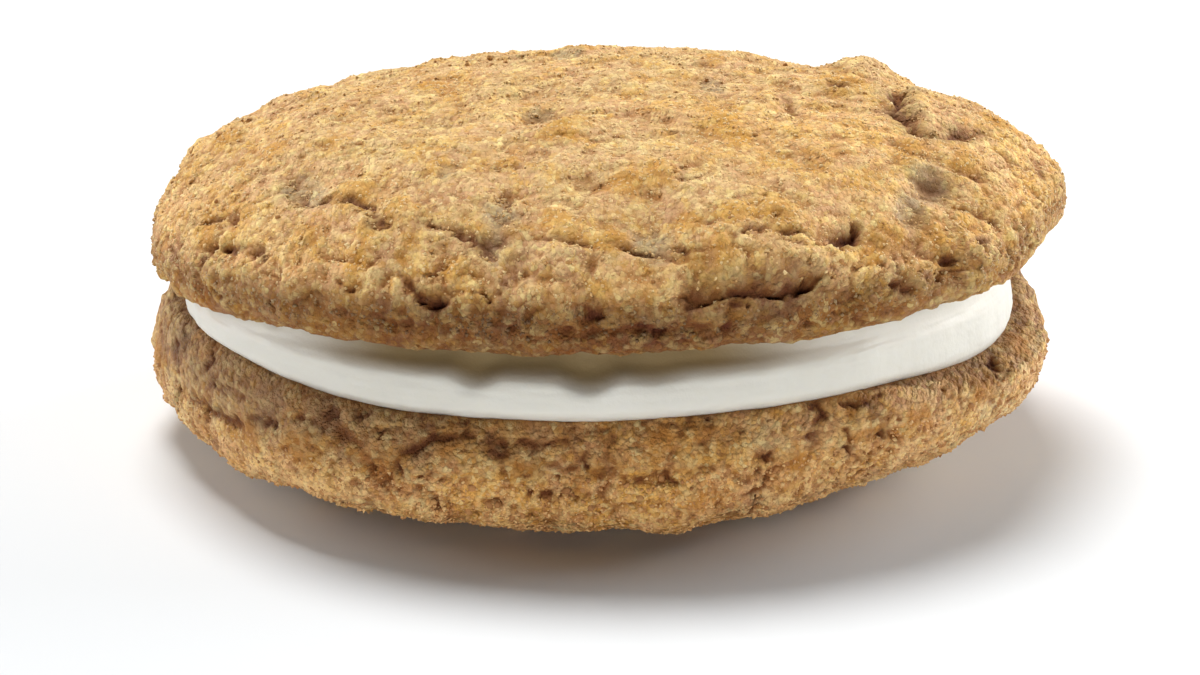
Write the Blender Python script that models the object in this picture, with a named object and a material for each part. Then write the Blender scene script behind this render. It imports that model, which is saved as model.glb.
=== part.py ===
"""Cookie sandwich: two thick crackled cookies, flat sides inward, round a slab of white cream.

Sizes below are in millimetres and the scene is in metres. +Z is up and the origin lies on the
surface it rests on, under its middle; +X is the right of the sandwich and -Y its front.
Angles are in degrees, counter-clockwise from +X, so the front is at -90. A place on a crust is
(angle, way out), the way out being millimetres along the crust from the middle of the dome.
"""

import math

import bmesh
import bpy
import numpy as np

MM = 0.001

# Driving dimensions
TOP_RADIUS = 44.1
BOTTOM_RADIUS = 43.6
CREAM_RADIUS = 41.3
BOTTOM_THICKNESS = 14.5
CREAM_THICKNESS = 6.0
TOP_THICKNESS = 12.3
TOP_TILT = math.radians(1.5)
CONTACT_GAP = 0.3
RESTING_SPOT_SINK = 0.35
RESTING_SPOT_RADIUS = 12.0

# Each lobe is (how many, size, first angle); each sag is (angle, reach in degrees, how far down).
# A cookie's dome side and its flat side can sag differently, so that its rim is thicker or thinner.
TOP_SAGS = (
    (192.0, 68.0, 2.5),
    (183.0, 30.0, 0.8),
    (-90.0, 55.0, 1.1),
    (-25.0, 75.0, 1.6),
    (50.0, 52.0, 2.2),
)
TOP_COOKIE = {
    "name": "top_cookie",
    "centre": (-0.1, 0.0),
    "radius": TOP_RADIUS,
    "flat_level": BOTTOM_THICKNESS + CREAM_THICKNESS,
    "up": 1.0,
    "tilt": TOP_TILT,
    "edge_drop": 3.2,
    "dome": TOP_THICKNESS - 3.2,
    "edge_round": 4.2,
    "dome_powers": (2.7, 2.1),
    "lobes": ((2, 0.35, 0.0), (3, 0.3, 30.0), (5, 0.3, 16.0), (8, 0.2, 10.0)),
    "sags": TOP_SAGS,
    "flat_sags": TOP_SAGS + ((202.0, 34.0, 1.1),),
    "lump_seed": 11,
    "grid_cells": 54,
}

BOTTOM_COOKIE = {
    "name": "bottom_cookie",
    "centre": (-0.7, 0.0),
    "radius": BOTTOM_RADIUS,
    "flat_level": BOTTOM_THICKNESS,
    "up": -1.0,
    "tilt": 0.0,
    "edge_drop": 6.0,
    "dome": BOTTOM_THICKNESS - 6.0 + RESTING_SPOT_SINK,
    "edge_round": 2.6,
    "dome_powers": (3.0, 3.0),
    "lobes": ((3, 0.5, 10.0), (5, 0.4, 100.0), (7, 0.3, 30.0)),
    "sags": ((190.0, 45.0, 1.0), (-24.0, 60.0, -3.0), (-100.0, 55.0, 0.2), (-130.0, 30.0, 0.4)),
    "flat_sags": ((190.0, 45.0, 0.7), (-125.0, 34.0, 0.9), (-92.0, 85.0, 1.1), (-18.0, 46.0, 2.7)),
    "lump_seed": 23,
    "grid_cells": 47,
}
FLAT_TO_RADIUS = 30.0
COVERED_TO_RADIUS = 39.0

# Cracks that can be seen from the front: (depth, half width, places along the crack)
TOP_CRACKS = (
    (1.5, 2.0, ((-138, 34.6), (-132, 34.3), (-126, 35.6), (-122, 37.2))),
    (1.3, 2.0, ((-120, 36.1), (-115, 35.2), (-109, 37.2), (-105, 39.1))),
    (1.0, 1.8, ((-158, 32.3), (-152, 33.3), (-142, 35.6), (-138, 34.6))),
    (1.2, 1.9, ((-154, 43.8), (-146, 43.1), (-138, 42.3))),
    (1.0, 1.8, ((-152, 44.5), (-150, 48.6))),
    (1.1, 1.7, ((-124, 43.3), (-120, 45.1))),
    (1.5, 1.9, ((-115, 42.6), (-110, 45.6))),
    (0.9, 1.7, ((-135, 46.6), (-126, 46.1), (-114, 47.1), (-108, 47.3))),
    (0.9, 1.8, ((-102, 37.1), (-90, 37.3), (-82, 39.3), (-78, 39.6))),
    (0.9, 1.8, ((-74, 39.3), (-70, 36.8), (-62, 38.8), (-57, 41.4))),
    (1.7, 2.0, ((-80, 44.3), (-74, 45.6), (-65, 45.6))),
    (1.4, 1.8, ((-76, 45.6), (-76, 49.6))),
    (1.2, 1.8, ((-90, 47.8), (-86, 49.1), (-82, 48.6))),
    (1.9, 2.2, ((20, 30.3), (1, 27.6), (-12, 29.1), (-18, 33.3), (-12, 35.1), (-2, 37.0))),
    (1.0, 1.9, ((-26, 29.6), (-29, 33.0), (-24, 39.3))),
    (1.0, 2.3, ((42, 24.0), (18, 18.3), (-16, 18.8))),
)
BOTTOM_CRACKS = (
    (1.4, 1.9, ((-155, 48.3), (-142, 48.1), (-136, 48.6), (-128, 51.1), (-118, 49.6))),
    (1.3, 1.8, ((-106, 51.8), (-110, 51.3), (-114, 48.6))),
    (1.0, 1.7, ((-104, 51.4), (-98, 51.3), (-93, 51.6))),
    (1.0, 1.7, ((-73, 50.8), (-69, 48.6))),
    (1.1, 1.7, ((-60, 50.6), (-58, 47.3))),
    (1.4, 1.8, ((-31, 52.1), (-31, 50.1), (-33, 47.1))),
    (1.0, 2.0, ((-63, 53.1), (-54, 52.6))),
    (0.9, 1.7, ((-94, 48.6), (-88, 47.8), (-78, 48.6), (-71, 46.8))),
)
# Humps and hollows: (place, reach, height)
TOP_HUMPS = (
    ((38, 34.0), 4.0, 1.6),
    ((4, 35.0), 6.0, 0.8),
    ((52, 30.0), 5.5, -1.5),
    ((78, 24.0), 7.0, 0.6),
    ((21, 25.1), 2.0, -0.8),
    ((-35, 36.3), 2.1, -0.9),
    ((-44, 38.8), 2.0, -0.6),
    ((-145, 7.8), 2.4, -0.7),
    ((-109, 11.5), 3.0, 0.5),
    ((-44, 45.3), 2.0, -0.8),
    ((-92, 47.0), 1.9, -0.9),
    ((-112, 23.1), 1.9, -0.6),
    ((-108, 28.8), 1.9, -0.6),
    ((-82, 28.6), 1.9, -0.6),
    ((-94, 25.8), 1.9, -0.6),
)
BOTTOM_HUMPS = (
    ((-116, 46.6), 1.9, -0.8),
    ((-96, 46.3), 1.9, -0.8),
    ((-70, 46.3), 1.9, -0.9),
    ((-82, 47.6), 1.9, -0.7),
    ((-82, 42.0), 3.5, 1.1),
    ((-20, 52.0), 5.0, 0.8),
)
# The crusts' other cracks are laid out by rule: (seed, how many, from angle, to angle)
TOP_MORE_CRACKS = (5, 15, 10.0, 205.0)
BOTTOM_MORE_CRACKS = (8, 24, -180.0, 180.0)

# The cream: where it swells outward, how far round its front hangs back under the top cookie,
# and where its ledge dips
CREAM = {
    "centre": (-1.0, 0.0),
    "radius": CREAM_RADIUS,
    "lobes": ((2, -1.0, 0.0), (3, 0.15, 50.0), (7, 0.15, 0.0)),
    "swells": ((-25.0, 24.0, 1.0), (4.0, 24.0, -0.5), (-126.0, 24.0, 0.4)),
    "recesses": ((-96.0, 54.0, 3.2), (60.0, 50.0, 1.6), (140.0, 40.0, 1.2)),
    "ledge_dips": ((-91.0, 5.0, 0.9), (-105.0, 4.0, 0.7), (-83.0, 5.0, 0.35), (75.0, 12.0, 0.6)),
    "segments": 80,
}
# Rings up the cream's side: (share of the height, set back, share of the recess, share of the dip)
CREAM_RINGS = (
    (0.00, 0.7, 0.0, 0.0),
    (0.05, 0.2, 0.0, 0.0),
    (0.20, 0.0, 0.0, 0.0),
    (0.42, 0.1, 0.0, 0.4),
    (0.58, 0.3, 0.0, 1.0),
    (0.66, 0.7, 0.25, 1.0),
    (0.70, 0.9, 0.75, 0.9),
    (0.82, 1.0, 1.0, 0.3),
    (1.00, 1.3, 1.0, 0.0),
)


def lattice_hash(ix, iy, iz, seed):
    """A repeatable whole number for each point of a cubic lattice."""
    h = (ix * 374761393 + iy * 668265263 + iz * 1442695041 + seed * 974634777) & 0xFFFFFFFF
    h = ((h ^ (h >> 13)) * 1274126177) & 0xFFFFFFFF
    return h ^ (h >> 16)


def gradient_noise(points, seed):
    """Smooth noise of about -1 to 1, whose hills are about one unit across."""
    cell = np.floor(points).astype(np.int64)
    inside = points - cell
    ease = inside**3 * (inside * (inside * 6 - 15) + 10)
    total = np.zeros(len(points))
    for corner in np.ndindex(2, 2, 2):
        h = lattice_hash(*(cell + corner).T, seed)
        slope = np.stack([(h >> shift) & 1023 for shift in (0, 10, 20)], 1) / 511.5 - 1
        share = np.where(corner, ease, 1 - ease).prod(1)
        total += share * (slope * (inside - corner)).sum(1)
    return total * 1.6


def layered_noise(points, size, seed, layers):
    """Noise with hills of this size in mm, and layers of hills half as large and half as high."""
    total = np.zeros(len(points))
    for layer in range(layers):
        total += gradient_noise(points * 2**layer / size, seed + layer) / 2**layer
    return total


def profile_table(cookie):
    """(way out, radius, height from the widest level) down one side of a cookie, dome first."""
    turn = np.linspace(0, math.pi / 2, 160)
    power_out, power_up = cookie["dome_powers"]
    dome_radius = cookie["radius"] * np.sin(turn) ** (2 / power_out)
    dome_height = cookie["dome"] * np.cos(turn).clip(0) ** (2 / power_up)
    edge_radius = cookie["radius"] - cookie["edge_round"] * (1 - np.cos(turn).clip(0) ** 0.8)
    edge_height = -cookie["edge_drop"] * np.sin(turn) ** 0.8
    radius = np.concatenate([dome_radius, edge_radius[1:], [COVERED_TO_RADIUS]])
    height = np.concatenate([dome_height, edge_height[1:], [-cookie["edge_drop"]]])
    steps = np.hypot(np.diff(radius), np.diff(height))
    return np.concatenate([[0.0], np.cumsum(steps)]), radius, height


def bell(angle, centre, reach):
    """1 at the centre angle, falling to 0 smoothly at the reach; all in degrees."""
    gap = np.abs((angle - centre + 180) % 360 - 180)
    return np.cos(np.clip(gap / reach, 0, 1) * math.pi / 2) ** 2


def smooth_crust(cookie, angle, way_out):
    """Points of the cookie before its relief, at angles in degrees and ways out in mm."""
    table_way, table_radius, table_height = profile_table(cookie)
    radius = np.interp(way_out, table_way, table_radius)
    height = np.interp(way_out, table_way, table_height)
    rim = np.clip(radius / cookie["radius"], 0, 1) ** 3
    for count, size, phase in cookie["lobes"]:
        radius = radius + rim * size * np.cos(np.radians(count * (angle - phase)))
    turn = np.radians(angle)
    x = cookie["centre"][0] + radius * np.cos(turn)
    y = cookie["centre"][1] + radius * np.sin(turn)
    z = cookie["flat_level"] + cookie["up"] * (cookie["edge_drop"] + height)
    to_flat = np.clip(-height / cookie["edge_drop"], 0, 1)
    dome_bend = bend(cookie, cookie["sags"], angle, radius, x)
    flat_bend = bend(cookie, cookie["flat_sags"], angle, radius, x)
    return np.stack([x, y, z + dome_bend + to_flat * (flat_bend - dome_bend)], 1)


def bend(cookie, sags, angle, radius, x):
    """How far a cookie's rim sags, and how far its tilt lifts it."""
    outer = np.clip((radius - FLAT_TO_RADIUS) / (cookie["radius"] - FLAT_TO_RADIUS), 0, 1)
    lift = x * math.tan(cookie["tilt"])
    for centre, reach, sag in sags:
        lift = lift - sag * outer**1.5 * bell(angle, centre, reach)
    return lift


def flat_side_level(cookie, x, y):
    """Height of a cookie's flat side at these places."""
    x_out, y_out = x - cookie["centre"][0], y - cookie["centre"][1]
    angle = np.degrees(np.arctan2(y_out, x_out))
    return cookie["flat_level"] + bend(cookie, cookie["flat_sags"], angle, np.hypot(x_out, y_out), x)


def crust_normals(cookie, angle, way_out):
    """Outward directions of the smooth crust, from points a little way round and along it."""
    turn_step, way_step = 0.5, 0.2
    inner = np.maximum(way_out - way_step, 1e-3)
    along = smooth_crust(cookie, angle, way_out + way_step) - smooth_crust(cookie, angle, inner)
    around = smooth_crust(cookie, angle + turn_step, np.maximum(way_out, way_step)) - smooth_crust(
        cookie, angle - turn_step, np.maximum(way_out, way_step)
    )
    normal = np.cross(along, around) * cookie["up"]
    return normal / np.linalg.norm(normal, axis=1, keepdims=True)


def distance_to_route(points, route):
    """Each point's distance to a line through the route's points, and how far along it, 0 to 1."""
    lengths = np.linalg.norm(np.diff(route, axis=0), axis=1)
    starts = np.concatenate([[0.0], np.cumsum(lengths)])
    best = np.full(len(points), np.inf)
    along = np.zeros(len(points))
    for start, end, passed, length in zip(route[:-1], route[1:], starts, lengths):
        share = np.clip((points - start) @ (end - start) / length**2, 0, 1)
        gap = np.linalg.norm(points - start - share[:, None] * (end - start), axis=1)
        nearer = gap < best
        best = np.where(nearer, gap, best)
        along = np.where(nearer, (passed + share * length) / starts[-1], along)
    return best, along


def more_cracks(cookie, rule):
    """Wandering cracks along the side of a cookie, spread over its angles with a fixed seed."""
    seed, count, start, end = rule
    random = np.random.default_rng(seed)
    widest_way = profile_table(cookie)[0][159]
    cracks = []
    for index in range(count):
        angle = start + (end - start) * (index + random.uniform(0.1, 0.9)) / count
        way = widest_way + random.uniform(-7.0, 3.0)
        places = [(angle, way)]
        for _ in range(random.integers(1, 4)):
            angle += random.uniform(4.0, 8.0)
            way += random.uniform(-2.2, 2.2)
            places.append((angle, way))
        cracks.append((random.uniform(0.7, 1.4), 1.8, tuple(places)))
    return tuple(cracks)


def crust_relief(cookie, points, cracks, humps):
    """How far each point of the smooth crust moves out: lumps, cracks, humps and hollows."""
    from_middle = np.hypot(points[:, 0] - cookie["centre"][0], points[:, 1] - cookie["centre"][1])
    side = np.clip(from_middle / cookie["radius"] * 4 - 3, 0, 1)
    relief = (0.4 + 0.25 * side) * layered_noise(points, 13.0, cookie["lump_seed"], 3)
    for place, reach, height in humps:
        centre = smooth_crust(cookie, *np.array([place]).T)
        gap = np.linalg.norm(points - centre, axis=1)
        relief += height * np.exp(-((gap / reach) ** 2))
    for depth, half_width, places in cracks:
        gap, along = distance_to_route(points, smooth_crust(cookie, *np.array(places, float).T))
        ends = np.clip(5 * np.minimum(along, 1 - along), 0, 1) ** 0.5
        relief -= depth * ends * np.clip(1 - gap / half_width, 0, 1) ** 1.2
    return relief


def disc_from_square(a, b):
    """Angle in degrees and share of the radius, for a square of -1 to 1 bent into a disc."""
    wide = np.abs(a) >= np.abs(b)
    share = np.maximum(np.abs(a), np.abs(b))
    divisor = np.where(wide, a, b)
    ratio = np.where(wide, b, a) / np.where(divisor == 0, 1, divisor)
    angle = np.where(wide, 45 * ratio, 90 - 45 * ratio)
    return angle + np.where(divisor < 0, 180, 0), share


def make_material(name, colour, roughness):
    material = bpy.data.materials.new(name)
    material.use_nodes = True
    shader = material.node_tree.nodes["Principled BSDF"]
    shader.inputs["Base Color"].default_value = (*colour, 1.0)
    shader.inputs["Roughness"].default_value = roughness
    shader.inputs["Metallic"].default_value = 0.0
    return material


def add_object(name, bm, material):
    bmesh.ops.recalc_face_normals(bm, faces=bm.faces)
    mesh = bpy.data.meshes.new(name)
    bm.to_mesh(mesh)
    bm.free()
    mesh.materials.append(material)
    mesh.shade_smooth()
    mesh.set_sharp_from_angle(angle=math.radians(40))
    obj = bpy.data.objects.new(name, mesh)
    bpy.context.scene.collection.objects.link(obj)
    return obj


def close_flat_side(bm, cookie):
    """Draw the open rim in to where the flat side is level, then close it with a fan."""
    rim = [edge for edge in bm.edges if edge.is_boundary]
    drawn = bmesh.ops.extrude_edge_only(bm, edges=rim)["geom"]
    ring = [item for item in drawn if isinstance(item, bmesh.types.BMVert)]
    for vert in ring:
        x_out = vert.co.x / MM - cookie["centre"][0]
        y_out = vert.co.y / MM - cookie["centre"][1]
        share = FLAT_TO_RADIUS / math.hypot(x_out, y_out)
        x = cookie["centre"][0] + x_out * share
        y = cookie["centre"][1] + y_out * share
        vert.co = (x * MM, y * MM, flat_side_level(cookie, x, y) * MM)
    cap = bmesh.ops.edgeloop_fill(bm, edges=[edge for edge in bm.edges if edge.is_boundary])
    bmesh.ops.poke(bm, faces=cap["faces"])


def make_cookie(cookie, cracks, humps, material):
    """A square grid bent into a disc and wrapped over the dome, the edge and the flat side."""
    bm = bmesh.new()
    cells = cookie["grid_cells"]
    bmesh.ops.create_grid(bm, x_segments=cells, y_segments=cells, size=1.0)
    square = np.array([v.co[:2] for v in bm.verts])
    angle, share = disc_from_square(square[:, 0], square[:, 1])
    full_way = profile_table(cookie)[0][-1]
    way_out = full_way * share * (1.3 - 0.3 * share)
    points = smooth_crust(cookie, angle, way_out)
    normals = crust_normals(cookie, angle, way_out)
    strength = np.clip((full_way - way_out) / 3.0 - 0.6, 0, 1)
    if cookie["up"] < 0:
        strength *= np.clip((way_out - RESTING_SPOT_RADIUS) / 10.0, 0, 1)
    points += normals * (strength * crust_relief(cookie, points, cracks, humps))[:, None]
    points[:, 2] = np.maximum(points[:, 2], 0.0)
    for vert, point in zip(bm.verts, points):
        vert.co = point * MM
    close_flat_side(bm, cookie)
    return add_object(cookie["name"], bm, material)


def cream_surface(angle):
    """Points of the cream at these angles, ring by ring: under it, up its side and over it."""
    turn = np.radians(angle)
    outer = CREAM["radius"] + sum(
        size * np.cos(np.radians(count * (angle - phase))) for count, size, phase in CREAM["lobes"]
    )
    outer = outer + sum(size * bell(angle, centre, reach) for centre, reach, size in CREAM["swells"])
    recess = sum(depth * bell(angle, centre, reach) for centre, reach, depth in CREAM["recesses"])
    dip = sum(drop * bell(angle, centre, reach) for centre, reach, drop in CREAM["ledge_dips"])
    rings = [(0.0, np.full_like(angle, FLAT_TO_RADIUS), 0.0)]
    rings += [(0.0, outer - 2.6, 0.0)]
    for height_share, back, recess_share, dip_share in CREAM_RINGS:
        rings.append((height_share, outer - back - recess_share * recess, dip_share))
    rings += [(1.0, np.full_like(angle, FLAT_TO_RADIUS), 0.0)]
    points = []
    for share, radius, dip_share in rings:
        x = CREAM["centre"][0] + radius * np.cos(turn)
        y = CREAM["centre"][1] + radius * np.sin(turn)
        low = flat_side_level(BOTTOM_COOKIE, x, y) + CONTACT_GAP
        high = flat_side_level(TOP_COOKIE, x, y) - CONTACT_GAP
        points.append(np.stack([x, y, low + share * (high - low) - dip_share * dip], 1))
    return np.array(points)


def make_cream(material):
    """A slab between the cookies' flat sides, ring by ring, closed by a fan above and below."""
    segments = CREAM["segments"]
    rings = cream_surface(np.arange(segments) * 360.0 / segments)
    bm = bmesh.new()
    verts = [[bm.verts.new(point * MM) for point in ring] for ring in rings]
    for lower, upper in zip(verts[:-1], verts[1:]):
        for index in range(segments):
            after = (index + 1) % segments
            bm.faces.new((lower[index], lower[after], upper[after], upper[index]))
    ends = [bm.faces.new(verts[0]), bm.faces.new(verts[-1])]
    bmesh.ops.poke(bm, faces=ends)
    return add_object("cream_filling", bm, material)


def clear_scene():
    for obj in list(bpy.data.objects):
        bpy.data.objects.remove(obj, do_unlink=True)


def main():
    clear_scene()
    top_crust = make_material("top_crust", (0.60, 0.36, 0.17), 0.85)
    bottom_crust = make_material("bottom_crust", (0.36, 0.19, 0.08), 0.85)
    cream = make_material("cream", (0.83, 0.80, 0.70), 0.55)
    top_cracks = TOP_CRACKS + more_cracks(TOP_COOKIE, TOP_MORE_CRACKS)
    bottom_cracks = BOTTOM_CRACKS + more_cracks(BOTTOM_COOKIE, BOTTOM_MORE_CRACKS)
    make_cookie(TOP_COOKIE, top_cracks, TOP_HUMPS, top_crust)
    make_cookie(BOTTOM_COOKIE, bottom_cracks, BOTTOM_HUMPS, bottom_crust)
    make_cream(cream)


main()
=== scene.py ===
import itertools
import math

import bpy
import numpy as np
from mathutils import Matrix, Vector


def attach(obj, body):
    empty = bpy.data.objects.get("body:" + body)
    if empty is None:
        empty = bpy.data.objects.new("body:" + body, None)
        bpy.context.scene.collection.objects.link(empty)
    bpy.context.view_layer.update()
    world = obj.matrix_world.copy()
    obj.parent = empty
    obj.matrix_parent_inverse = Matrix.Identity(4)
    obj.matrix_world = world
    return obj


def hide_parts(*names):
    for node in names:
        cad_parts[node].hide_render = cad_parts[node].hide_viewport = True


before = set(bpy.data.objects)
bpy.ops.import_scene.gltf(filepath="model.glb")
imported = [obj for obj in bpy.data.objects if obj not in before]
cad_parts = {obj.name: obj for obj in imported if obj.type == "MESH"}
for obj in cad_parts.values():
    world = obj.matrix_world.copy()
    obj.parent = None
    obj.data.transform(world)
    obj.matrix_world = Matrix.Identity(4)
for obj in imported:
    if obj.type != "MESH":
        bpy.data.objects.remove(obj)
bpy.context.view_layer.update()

mm = 0.001
scene = bpy.context.scene
print("frame loaded:", sorted(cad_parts))

# camera
cameraView = {
    "lookAt": (-0.74, 0, 8.7),    # mm
    "distance": 400,
    "elevation": 17,
    "lens": 122,
}


def placeCamera(values):
    # straight back from the target by the distance, raised by the elevation, looking along +Y
    tilt = math.radians(values["elevation"])
    x, y, z = values["lookAt"]
    back = values["distance"]
    data = bpy.data.cameras.new("camera")
    data.lens = values["lens"]
    data.sensor_width = 36.0
    data.clip_start = 0.01
    camera = bpy.data.objects.new("camera", data)
    camera.location = (x * mm, (y - back * math.cos(tilt)) * mm, (z + back * math.sin(tilt)) * mm)
    camera.rotation_euler = (math.pi / 2 - tilt, 0.0, 0.0)
    scene.collection.objects.link(camera)
    scene.camera = camera


placeCamera(cameraView)
print("camera placed")


# noise
def latticeHash(ix, iy, iz, seed):
    # one repeatable 32-bit number for each lattice point, from four large odd factors and two shifts
    h = (ix * 374761393 + iy * 668265263 + iz * 1442695041 + seed * 974634777) & 0xFFFFFFFF
    h = ((h ^ (h >> 13)) * 1274126177) & 0xFFFFFFFF
    return h ^ (h >> 16)


def gradientNoise(points, seed):
    # random slopes at the eight corners of each unit cell, blended with the ease t^3(6t^2-15t+10)
    cell = np.floor(points).astype(np.int64)
    inside = points - cell
    ease = inside**3 * (inside * (inside * 6 - 15) + 10)
    total = np.zeros(len(points))
    for corner in np.ndindex(2, 2, 2):
        h = latticeHash(*(cell + corner).T, seed)
        slope = np.stack([(h >> shift) & 1023 for shift in (0, 10, 20)], 1) / 511.5 - 1
        share = np.where(corner, ease, 1 - ease).prod(1)
        total += share * (slope * (inside - corner)).sum(1)
    return total * 1.6


def layeredNoise(points, size, seed, layers):
    # sum of noises, each with hills half as wide and half as high as the one before
    total = np.zeros(len(points))
    for layer in range(layers):
        total += gradientNoise(points * 2**layer / size, seed + layer) / 2**layer
    return total


def cellNoise(points, seed):
    # distances to the nearest and the second nearest of one jittered point per unit cell
    cell = np.floor(points).astype(np.int64)
    nearest = np.full(len(points), 9.0)
    second = np.full(len(points), 9.0)
    for corner in np.ndindex(3, 3, 3):
        other = cell + np.array(corner) - 1
        h = latticeHash(*other.T, seed)
        spot = other + np.stack([(h >> shift) & 1023 for shift in (0, 10, 20)], 1) / 1023
        gap = np.linalg.norm(points - spot, axis=1)
        second = np.where(gap < nearest, nearest, np.minimum(second, gap))
        nearest = np.minimum(nearest, gap)
    return nearest, second


def easeStep(low, high, value):
    # 0 below low, 1 above high, and 3t^2-2t^3 between them
    t = np.clip((value - low) / (high - low), 0, 1)
    return t * t * (3 - 2 * t)


def warped(points, size, amount, seed):
    # each point moved by three noises of this size, up to about this amount
    moves = [layeredNoise(points, size, seed + 31 * axis, 2) for axis in range(3)]
    return points + amount * np.stack(moves, 1)


# lengths in mm, angles in degrees from +X, front at -90
flatToRadius = 30.0
coveredToRadius = 39.0
gridCells = 306       # of a crust, along each side
profileSteps = 160    # from the middle of the dome to its widest level

topSags = ((192, 68, 2.5), (183, 30, 0.8), (-90, 55, 1.1), (-25, 75, 1.6), (50, 52, 2.2))
topCookie = {
    "centre": (-0.1, 0),
    "radius": 44.1,
    "flatLevel": 20.5,
    "up": 1,
    "tilt": math.radians(1.5),
    "edgeDrop": 3.2,
    "dome": 9.1,
    "edgeRound": 4.2,
    "domePowers": (2.7, 2.1),
    "lobes": ((2, 0.35, 0), (3, 0.3, 30), (5, 0.3, 16), (8, 0.2, 10)),    # count, size, phase
    "sags": topSags,    # angle, reach, drop
    "flatSags": topSags + ((202, 34, 1.1),),    # those of the flat side
    "lumpSeed": 11,
    "flakes": (0.24, 0.28),    # height of the flakes' steps on the dome and on the side
    "pillows": (0.08, 0.45),    # height of the swells between creases
    "crumble": (0.18, 0.40),
    "pits": (-0.4, 0.36),    # how readily the crust is pitted
    "shaded": (0.38, (-98, 82, 0.62)),    # darker lower edge, partly its browner bake and partly painted shade beneath the overhang, most at the front: all round, and angle, reach, more
    "shadedFrom": (-3.8, -0.4),    # mm past the widest level
    "crevice": 0.34,    # share of a crack's depth that its narrow part has
    "settle": 0.22,    # mm by which the whole crust is drawn in
    "ends": ((175, 40, 0.2), (-28, 52, 0.8)),    # painted light on the ends, paler there: angle, reach, share
    "moreCracks": (5, 15, 10, 205),
    "fineCracks": (6, 22, -180, 180),
}
bottomCookie = {
    "centre": (-0.7, 0),
    "radius": 43.6,
    "flatLevel": 14.5,
    "up": -1,
    "tilt": 0,
    "edgeDrop": 6,
    "dome": 8.85,
    "edgeRound": 2.6,
    "domePowers": (3, 3),
    "lobes": ((3, 0.5, 10), (5, 0.4, 100), (7, 0.3, 30)),
    "sags": ((190, 45, 1), (-24, 60, -3), (-100, 55, 0.2), (-130, 30, 0.4)),
    "flatSags": ((190, 45, 0.7), (-125, 34, 0.9), (-92, 85, 1.1), (-18, 46, 2.7)),
    "lumpSeed": 23,
    "flakes": (0.10, 0.22),
    "pillows": (0.10, 0.28),
    "crumble": (0.24, 0.36),
    "pits": (0.14, 0.34),
    # darker upper edge by the cream: partly its browner bake, partly painted shade beneath the top cookie, most at the
    # front left
    "shaded": (0.26, (-128, 80, 0.50)),
    "shadedFrom": (-2, 4.2),
    "crevice": 0.42,
    "settle": 0.05,
    # painted light on the ends, paler there
    "ends": ((-160, 58, 0.9), (-22, 62, 1)),
    "moreCracks": (8, 11, 10, 195),
    "fineCracks": (9, 16, -180, 180),
}

# depth, half width, places: angle, way out in mm along the crust from the middle of the dome
topCracks = (
    (1.5, 2, ((-138, 34.6), (-132, 34.3), (-126, 35.6), (-122, 37.2))),
    (1.2, 1.7, ((-120, 35.8), (-114, 35.5), (-109, 36.8), (-106, 38.4), (-104, 39.3))),
    (1, 1.8, ((-158, 32.3), (-152, 33.3), (-142, 35.6), (-138, 34.6))),
    (1.2, 1.9, ((-154, 43.8), (-146, 43.1), (-138, 42.3))),
    (1, 1.8, ((-152, 44.5), (-150, 48.6))),
    (1.1, 1.7, ((-124, 43.3), (-120, 45.1))),
    (1.5, 1.9, ((-115, 42.6), (-110, 45.6))),
    (0.9, 1.7, ((-135, 46.6), (-126, 46.1), (-114, 47.1), (-108, 47.3))),
    (0.9, 1.8, ((-102, 37.1), (-90, 37.3), (-82, 39.3), (-78, 39.6))),
    (0.9, 1.8, ((-74, 39.3), (-70, 36.8), (-62, 38.8), (-57, 41.4))),
    (2.3, 3, ((-81, 43.2), (-77, 43.9), (-74, 44.1), (-69, 44.1), (-66, 43.6), (-62, 43.2))),
    (1.2, 1.3, ((-97, 47.1), (-91, 46.8), (-84, 47.2))),
    (1.9, 1.5, ((-87, 46.8), (-84, 47.3), (-81, 46.8))),
    (1.1, 1.3, ((-80, 46.8), (-76, 47.8))),
    (1.9, 1.6, ((-76, 44.4), (-75, 46.2), (-77, 48.8))),
    (1.2, 1.8, ((-90, 47.8), (-86, 49.1), (-82, 48.6))),
    (2.4, 2.8, ((22, 30.6), (14, 29.1), (0, 28.1), (-9, 29.1), (-14, 30.3), (-18, 32.3), (-16, 33.8), (-4, 36.1))),
    (1, 1.9, ((-26, 29.6), (-29, 33), (-24, 39.3))),
    (0.5, 2, ((30, 20), (14, 17.1), (0, 17.3), (-12, 18.3), (-20, 19.6))),
)
bottomCracks = (
    (1.3, 1.5, ((-155, 48.1), (-142, 48.3), (-136, 49.3), (-129, 52.1), (-122, 51.8), (-118, 50.6))),
    (1.4, 1.8, ((-105, 52.8), (-110, 52.4), (-112, 50.3), (-114, 49.3))),
    (1, 1.5, ((-104, 52.4), (-98, 52.1), (-92, 52.4))),
    (0.8, 1.3, ((-73, 51.3), (-69, 48.6))),
    (0.8, 1.3, ((-60, 50.6), (-58, 46.8))),
    (1.4, 1.5, ((-25, 55.3), (-30, 53.6), (-32, 51), (-34, 47.5))),
    (1.2, 1.6, ((-63, 53.9), (-57, 53.1), (-52, 53.6))),
    (0.7, 1.3, ((-94, 49.1), (-88, 48.1), (-78, 48.8), (-71, 46.6))),
)
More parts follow.
